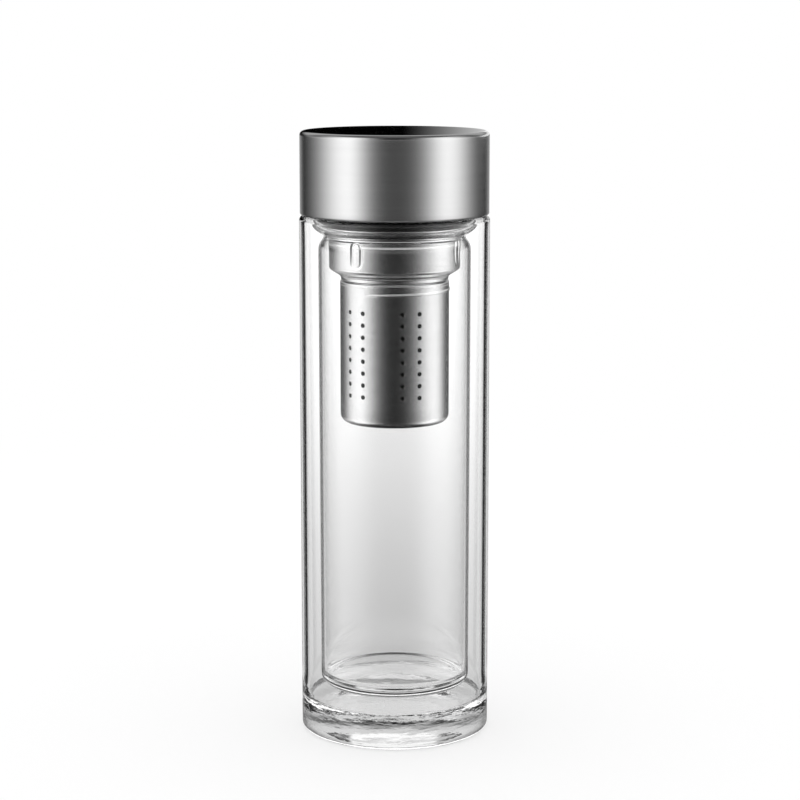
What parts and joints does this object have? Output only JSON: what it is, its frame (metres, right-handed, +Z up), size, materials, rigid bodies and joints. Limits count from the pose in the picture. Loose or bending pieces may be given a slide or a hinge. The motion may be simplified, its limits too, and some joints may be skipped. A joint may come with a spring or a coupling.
{
  "type": "glass tumbler",
  "caption": "Straight double-wall glass tumbler with a steel screw lid and a lift-out two-part steel tea infuser that hangs in its neck.",
  "frame": {"origin": "centre of the base, on the surface that the tumbler stands on", "axes": "+Z up along the tumbler's axis, -Y towards the front"},
  "size_m": [0.066, 0.066, 0.211],
  "materials": {
    "clear_glass": "clear, fire polished",
    "polished_steel": "bright drawn",
    "brushed_steel": "satin, brushed around the side",
    "black_plastic": "moulded, matte",
    "silicone": "matte, translucent white"
  },
  "bodies": {
    "glass": {"outer_glass_wall": "clear_glass", "inner_glass_liner": "clear_glass", "glass_base": "clear_glass"},
    "infuser": {"infuser_collar": "polished_steel"},
    "strainer": {"strainer_disc": "polished_steel"},
    "basket": {"infuser_basket": "polished_steel"},
    "gasket": {"lid_gasket": "silicone"},
    "plate": {"lid_inner_plate": "polished_steel"},
    "cap": {"lid_thread_liner": "black_plastic", "lid_shell": "brushed_steel"}
  },
  "joints": [
    {"name": "infuser_lift", "type": "slide", "parent": "glass", "child": "infuser", "axis": [0, 0, 1], "range_m": [0, 0.095]},
    {"name": "basket_drop", "type": "slide", "parent": "infuser", "child": "strainer", "axis": [0, 0, -1], "range_m": [0, 0.00481]},
    {"name": "basket_turn", "type": "hinge", "parent": "strainer", "child": "basket", "pos_m": [0, 0, 0.157], "axis": [0, 0, -1], "range_deg": [0, 720]},
    {"name": "lid_lift", "type": "slide", "parent": "infuser", "child": "gasket", "axis": [0, 0, 1], "range_m": [0, 0.06]},
    {"name": "lid_rise", "type": "slide", "parent": "gasket", "child": "plate", "axis": [0, 0, 1], "range_m": [0, 0.00526]},
    {"name": "lid_turn", "type": "hinge", "parent": "plate", "child": "cap", "pos_m": [0, 0, 0.19], "axis": [0, 0, 1], "range_deg": [0, 450]}
  ],
  "couplings": [
    {"joint": "basket_drop", "follows": "basket_turn", "m_per_rad": 0.00038197},
    {"joint": "lid_rise", "follows": "lid_turn", "m_per_rad": 0.00066845}
  ]
}
